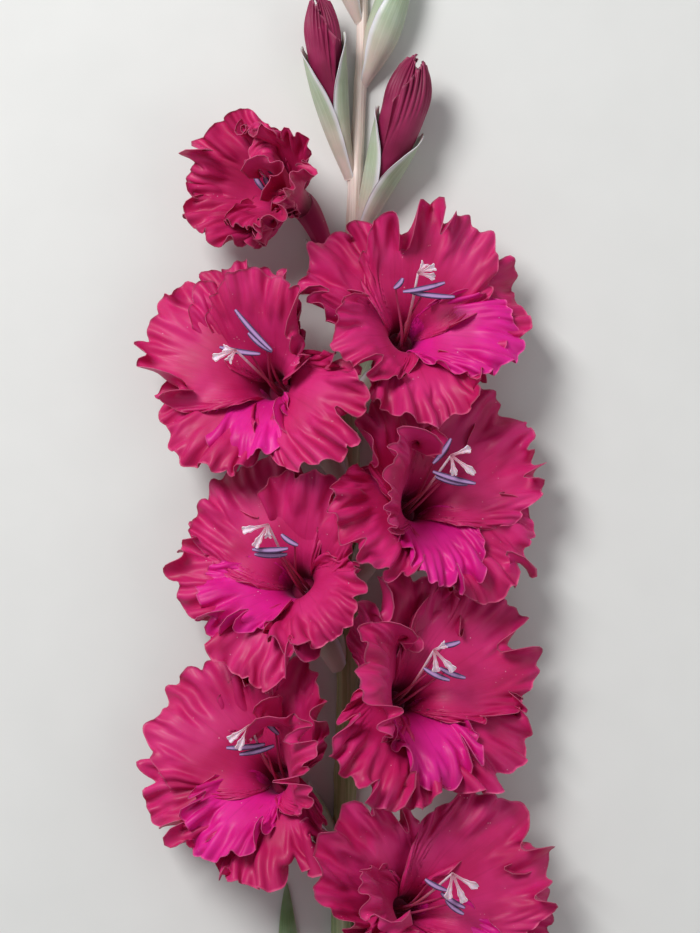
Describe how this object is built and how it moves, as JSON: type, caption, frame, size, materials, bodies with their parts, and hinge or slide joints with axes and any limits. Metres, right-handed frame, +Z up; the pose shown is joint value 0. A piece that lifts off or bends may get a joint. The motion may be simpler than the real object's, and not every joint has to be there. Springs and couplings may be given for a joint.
{
  "type": "cut gladiolus spike",
  "caption": "Cut gladiolus spike lying face up: a tall stem with two ranks of ruffled open florets, buds above them and narrow leaves below.",
  "frame": {"origin": "middle of the footprint, on the surface that the spike lies on", "axes": "+Y along the stem from its cut end to its tip, +Z up out of the faces of the florets, +X to the right of both"},
  "size_m": [0.1934, 0.7722, 0.0811],
  "materials": {
    "stem": "smooth, waxy, pale green with a pink blush",
    "leaf": "matte, ribbed along its length",
    "spathe": "waxy, ribbed, with a pale margin",
    "petal": "soft satin, veined, with ruffled margins",
    "bud_petal": "soft satin, furled",
    "anther": "matte, dusty",
    "style": "smooth, translucent"
  },
  "bodies": {
    "root": {"stem": "stem", "leaf_left": "leaf", "leaf_right": "leaf", "floret_1_perianth": "petal", "floret_1_spathe": "spathe", "floret_1_style": "style", "floret_1_stamen_a": "anther", "floret_1_stamen_b": "anther", "floret_1_stamen_c": "anther", "floret_2_perianth": "petal", "floret_2_spathe": "spathe", "floret_2_style": "style", "floret_2_stamen_a": "anther", "floret_2_stamen_b": "anther", "floret_2_stamen_c": "anther", "floret_3_perianth": "petal", "floret_3_spathe": "spathe", "floret_3_style": "style", "floret_3_stamen_a": "anther", "floret_3_stamen_b": "anther", "floret_3_stamen_c": "anther", "floret_4_perianth": "petal", "floret_4_spathe": "spathe", "floret_4_style": "style", "floret_4_stamen_a": "anther", "floret_4_stamen_b": "anther", "floret_4_stamen_c": "anther", "floret_5_perianth": "petal", "floret_5_spathe": "spathe", "floret_5_style": "style", "floret_5_stamen_a": "anther", "floret_5_stamen_b": "anther", "floret_5_stamen_c": "anther", "floret_6_perianth": "petal", "floret_6_spathe": "spathe", "floret_6_style": "style", "floret_6_stamen_a": "anther", "floret_6_stamen_b": "anther", "floret_6_stamen_c": "anther", "floret_7_perianth": "petal", "floret_7_spathe": "spathe", "floret_7_style": "style", "floret_7_stamen_a": "anther", "floret_7_stamen_b": "anther", "floret_7_stamen_c": "anther", "floret_8_perianth": "petal", "floret_8_spathe": "spathe", "floret_8_style": "style", "floret_8_stamen_a": "anther", "floret_8_stamen_b": "anther", "floret_8_stamen_c": "anther", "bud_1_petals": "bud_petal", "bud_1_spathe": "spathe", "bud_2_petals": "bud_petal", "bud_2_spathe": "spathe", "bud_3": "spathe", "bud_4": "spathe", "bud_5": "spathe", "bud_6": "spathe", "bud_7": "spathe"}
  },
  "joints": []
}
